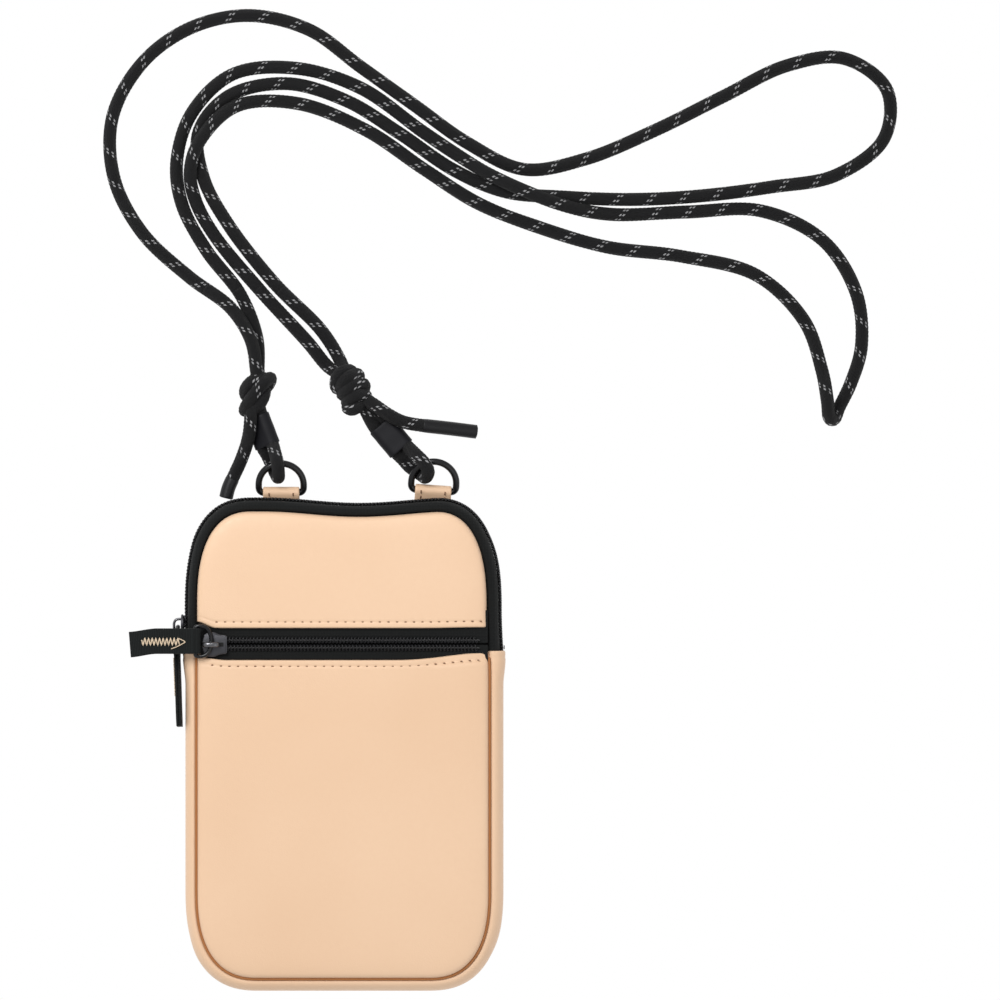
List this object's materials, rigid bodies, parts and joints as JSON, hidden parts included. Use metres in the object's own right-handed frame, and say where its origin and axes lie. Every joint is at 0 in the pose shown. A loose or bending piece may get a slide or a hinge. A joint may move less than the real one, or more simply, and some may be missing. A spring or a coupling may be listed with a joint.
{
  "type": "neck pouch wallet",
  "caption": "Flat zip pouch for phone and documents with a front zip pocket and a long neck cord tied with sliding knots to two D-rings at its top edge.",
  "frame": {"origin": "centre of the pouch's flat back face, which is the face it lies on", "axes": "+X across the pouch to its right seen from the front, +Y up the pouch towards the D-rings and the neck cord, +Z out of its front face"},
  "size_m": [0.2943, 0.3671, 0.0226],
  "materials": {
    "peach_leather": "smooth",
    "zip_tape": "woven",
    "zip_coil": "matte",
    "lining": "woven",
    "peach_thread": "thread",
    "braided_cord": "braided",
    "shrink_tube": "satin",
    "keeper_sleeve": "matte",
    "ring_metal": "satin",
    "slider_metal": "satin",
    "pull_wire": "satin",
    "webbing": "woven"
  },
  "bodies": {
    "pouch": {"back_panel": "peach_leather", "pocket_divider": "lining", "front_upper_panel": "peach_leather", "front_lower_panel": "peach_leather", "lower_gusset": "peach_leather", "main_zip_front_tape": "zip_tape", "main_zip_rear_tape": "zip_tape", "main_zip_front_coil": "zip_coil", "main_zip_rear_coil": "zip_coil", "main_zip_stops": "slider_metal", "front_zip_upper_tape": "zip_tape", "front_zip_lower_tape": "zip_tape", "front_zip_upper_coil": "zip_coil", "front_zip_lower_coil": "zip_coil", "front_topstitch": "peach_thread", "left_ring_tab": "peach_leather", "right_ring_tab": "peach_leather", "tab_stitches": "peach_thread", "cord_a_run": "braided_cord", "cord_b_run": "braided_cord"},
    "left_ring": {"left_d_ring": "ring_metal", "left_cord_loop": "braided_cord", "left_keeper": "keeper_sleeve", "left_knot": "braided_cord", "left_cord_tail": "braided_cord", "left_cord_tip": "shrink_tube"},
    "right_ring": {"right_d_ring": "ring_metal", "right_cord_loop": "braided_cord", "right_keeper": "keeper_sleeve", "right_knot": "braided_cord", "right_cord_tail": "braided_cord", "right_cord_tip": "shrink_tube"},
    "front_slider": {"front_zip_slider": "slider_metal"},
    "front_ring": {"front_pull_ring": "pull_wire"},
    "front_tab": {"front_pull_webbing": "webbing", "front_pull_bartack": "peach_thread"},
    "side_slider": {"main_zip_slider": "slider_metal"},
    "side_ring": {"main_pull_ring": "pull_wire"},
    "side_tab": {"main_pull_webbing": "webbing", "main_pull_bartack": "peach_thread"}
  },
  "joints": [
    {"name": "left_ring_hinge", "type": "hinge", "parent": "pouch", "child": "left_ring", "pos_m": [-0.0238, 0.094, 0.0036], "axis": [1, 0, 0], "range_deg": [0, 25]},
    {"name": "right_ring_hinge", "type": "hinge", "parent": "pouch", "child": "right_ring", "pos_m": [0.0331, 0.0947, 0.0036], "axis": [0.9976, -0.0698, 0], "range_deg": [0, 25]},
    {"name": "front_zip_slide", "type": "slide", "parent": "pouch", "child": "front_slider", "axis": [1, 0, 0], "range_m": [0, 0.094]},
    {"name": "front_ring_hinge", "type": "hinge", "parent": "front_slider", "child": "front_ring", "pos_m": [-0.0493, 0.0388, 0.021], "axis": [0, 1, 0], "range_deg": [0, 120]},
    {"name": "front_tab_hinge", "type": "hinge", "parent": "front_ring", "child": "front_tab", "pos_m": [-0.0552, 0.0388, 0.021], "axis": [0, 1, 0], "range_deg": [0, 55]},
    {"name": "main_zip_slide", "type": "slide", "parent": "pouch", "child": "side_slider", "axis": [0.03, 0.9995, 0], "range_m": [0, 0.015]},
    {"name": "side_ring_hinge", "type": "hinge", "parent": "side_slider", "child": "side_ring", "pos_m": [-0.0622, 0.044, 0.0095], "axis": [0, 0, -1], "range_deg": [0, 110]},
    {"name": "side_tab_hinge", "type": "hinge", "parent": "side_ring", "child": "side_tab", "pos_m": [-0.06265, 0.03812, 0.0095], "axis": [0, 0, -1], "range_deg": [0, 60]}
  ]
}
